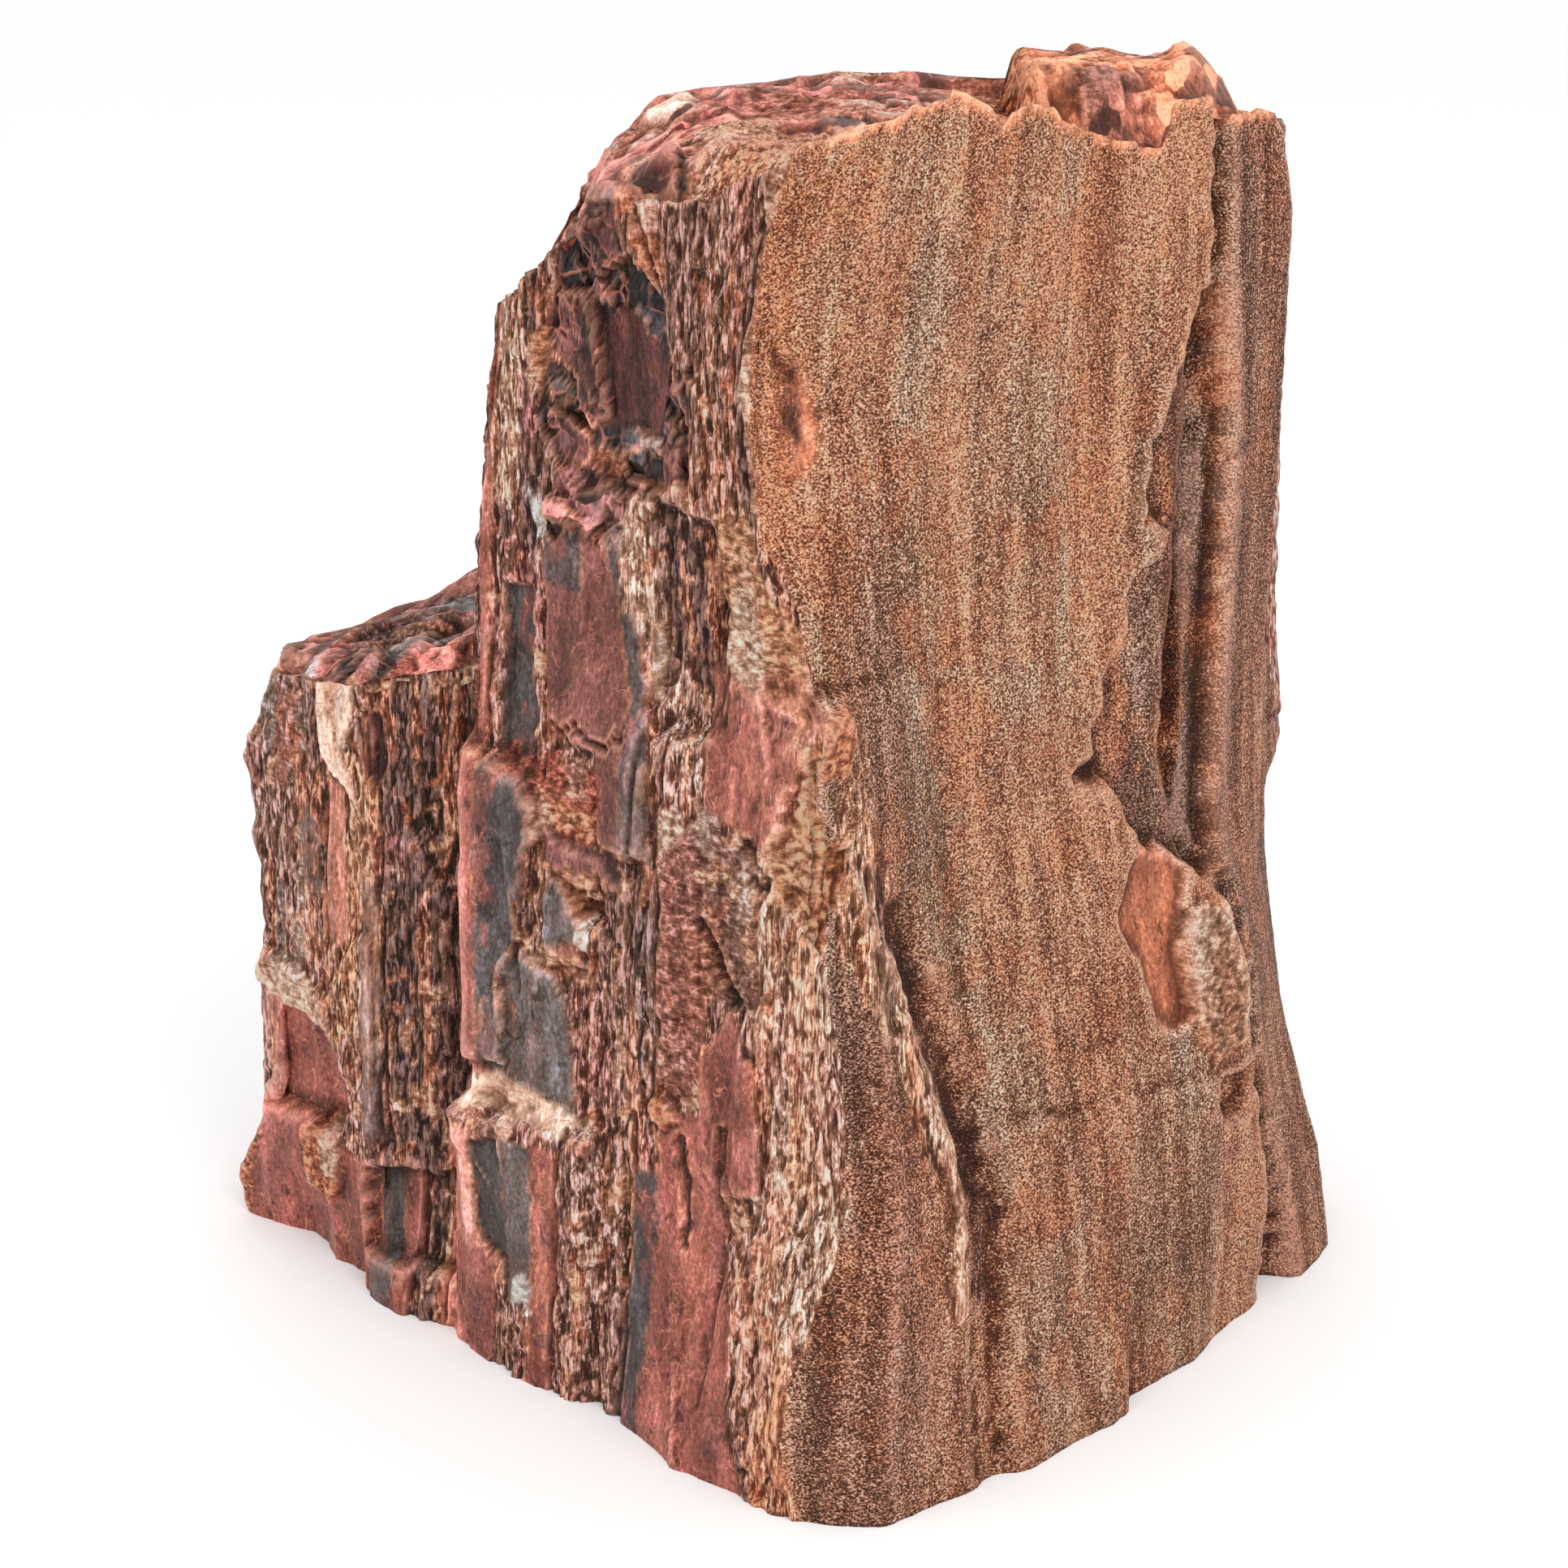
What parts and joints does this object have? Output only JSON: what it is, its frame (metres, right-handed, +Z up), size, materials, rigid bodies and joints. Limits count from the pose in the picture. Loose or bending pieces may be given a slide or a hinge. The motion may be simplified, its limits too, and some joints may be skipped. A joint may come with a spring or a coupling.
{
  "type": "petrified wood sculpture",
  "caption": "Upright broken piece of petrified tree trunk with a stepped side and a flat sawn foot, shown standing as a natural stone sculpture.",
  "frame": {"origin": "middle of the bounding box in plan, on the plane of the flat foot", "axes": "+Z up along the wood's grain, -Y towards the near corner between the outer skin and the broken face, +X towards the outer skin's side"},
  "size_m": [0.3873, 0.267, 0.4176],
  "materials": {
    "petrified_stone": "rough and grainy outer skin in brown and tan, with brick red, charcoal and cream broken bands, half matt"
  },
  "bodies": {
    "root": {"petrified_wood": "petrified_stone"}
  },
  "joints": []
}
